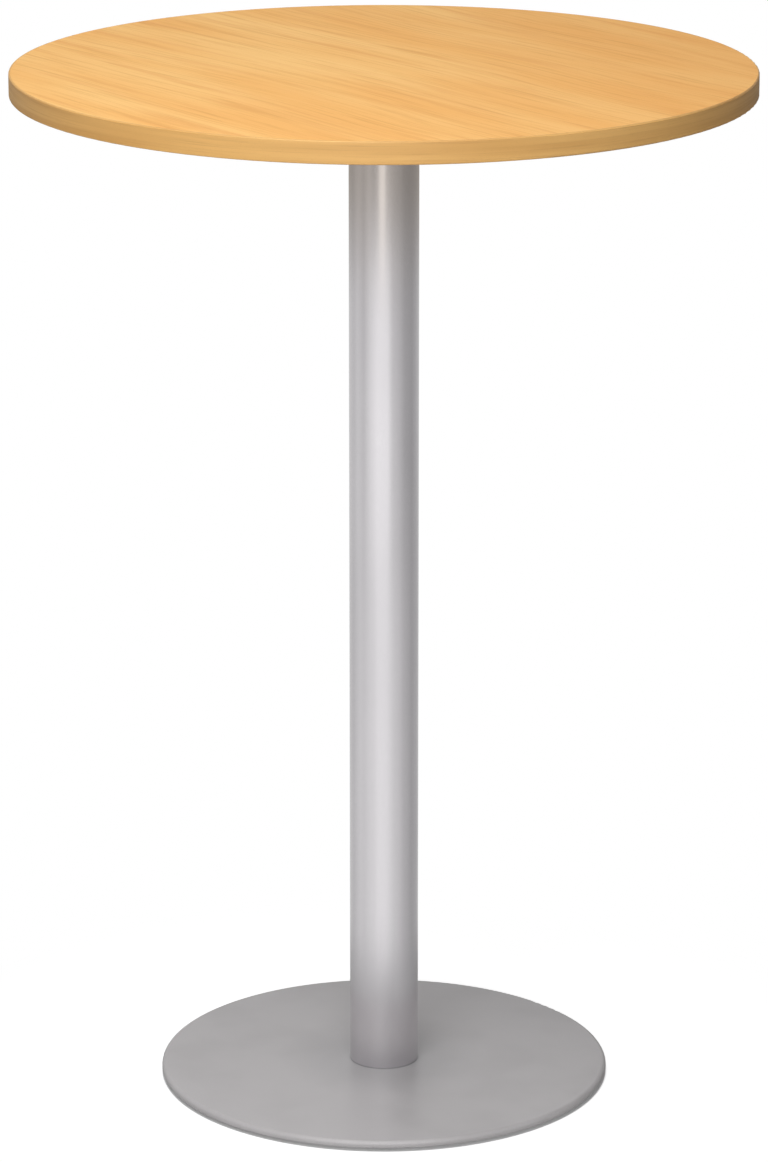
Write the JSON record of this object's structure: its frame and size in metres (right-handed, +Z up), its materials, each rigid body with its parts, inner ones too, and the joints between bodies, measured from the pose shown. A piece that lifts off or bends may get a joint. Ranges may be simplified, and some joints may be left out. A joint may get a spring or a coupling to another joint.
{
  "type": "round standing-height pedestal table",
  "caption": "Round standing-height table: a light wood-decor top on a tubular silver column with a flat round steel foot plate and levelling glides.",
  "frame": {"origin": "on the floor, under the middle of the base plate", "axes": "+Z up along the column's axis; -Y is the side that faces the picture's camera; +X is to the picture's right"},
  "size_m": [0.8, 0.8, 1.14],
  "materials": {
    "chipboard": "raw pressed chips",
    "wood_decor_laminate": "satin, fine-grained light beech decor",
    "backing_laminate": "matt balancing sheet",
    "edge_band": "satin, light beech print",
    "black_bracket": "matt black powder coat",
    "plain_steel": "plain, unpainted",
    "silver_powder_coat": "satin, fine-textured silver powder coat",
    "zinc_fastener": "zinc-plated",
    "black_plastic": "matt black moulded"
  },
  "bodies": {
    "table": {"top_core": "chipboard", "top_laminate": "wood_decor_laminate", "backing_laminate": "backing_laminate", "edge_band": "edge_band", "bracket": "black_bracket", "head_disc": "plain_steel", "column_tube": "silver_powder_coat", "foot_disc": "plain_steel", "base_plate": "silver_powder_coat", "head_bolt_1": "zinc_fastener", "head_bolt_2": "zinc_fastener", "head_bolt_3": "zinc_fastener", "head_bolt_4": "zinc_fastener", "foot_bolt_1": "zinc_fastener", "foot_bolt_2": "zinc_fastener", "foot_bolt_3": "zinc_fastener", "foot_bolt_4": "zinc_fastener", "board_screw_1": "zinc_fastener", "board_screw_2": "zinc_fastener", "board_screw_3": "zinc_fastener", "board_screw_4": "zinc_fastener", "board_screw_5": "zinc_fastener", "board_screw_6": "zinc_fastener", "board_screw_7": "zinc_fastener", "board_screw_8": "zinc_fastener"},
    "glide_1_stud": {"glide_stud_1": "zinc_fastener"},
    "glide_1_pad": {"glide_pad_1": "black_plastic"},
    "glide_2_stud": {"glide_stud_2": "zinc_fastener"},
    "glide_2_pad": {"glide_pad_2": "black_plastic"},
    "glide_3_stud": {"glide_stud_3": "zinc_fastener"},
    "glide_3_pad": {"glide_pad_3": "black_plastic"},
    "glide_4_stud": {"glide_stud_4": "zinc_fastener"},
    "glide_4_pad": {"glide_pad_4": "black_plastic"}
  },
  "joints": [
    {"name": "glide_1_lift", "type": "slide", "parent": "table", "child": "glide_1_stud", "axis": [0, 0, -1], "range_m": [0, 0.003]},
    {"name": "glide_1_turn", "type": "hinge", "parent": "glide_1_stud", "child": "glide_1_pad", "pos_m": [0.21, 0, 0.002], "axis": [0, 0, 1], "range_deg": [0, 864]},
    {"name": "glide_2_lift", "type": "slide", "parent": "table", "child": "glide_2_stud", "axis": [0, 0, -1], "range_m": [0, 0.003]},
    {"name": "glide_2_turn", "type": "hinge", "parent": "glide_2_stud", "child": "glide_2_pad", "pos_m": [0, 0.21, 0.002], "axis": [0, 0, 1], "range_deg": [0, 864]},
    {"name": "glide_3_lift", "type": "slide", "parent": "table", "child": "glide_3_stud", "axis": [0, 0, -1], "range_m": [0, 0.003]},
    {"name": "glide_3_turn", "type": "hinge", "parent": "glide_3_stud", "child": "glide_3_pad", "pos_m": [-0.21, 0, 0.002], "axis": [0, 0, 1], "range_deg": [0, 864]},
    {"name": "glide_4_lift", "type": "slide", "parent": "table", "child": "glide_4_stud", "axis": [0, 0, -1], "range_m": [0, 0.003]},
    {"name": "glide_4_turn", "type": "hinge", "parent": "glide_4_stud", "child": "glide_4_pad", "pos_m": [0, -0.21, 0.002], "axis": [0, 0, 1], "range_deg": [0, 864]}
  ],
  "couplings": [
    {"joint": "glide_1_lift", "follows": "glide_1_turn", "m_per_rad": 0.00019894},
    {"joint": "glide_2_lift", "follows": "glide_2_turn", "m_per_rad": 0.00019894},
    {"joint": "glide_3_lift", "follows": "glide_3_turn", "m_per_rad": 0.00019894},
    {"joint": "glide_4_lift", "follows": "glide_4_turn", "m_per_rad": 0.00019894}
  ]
}
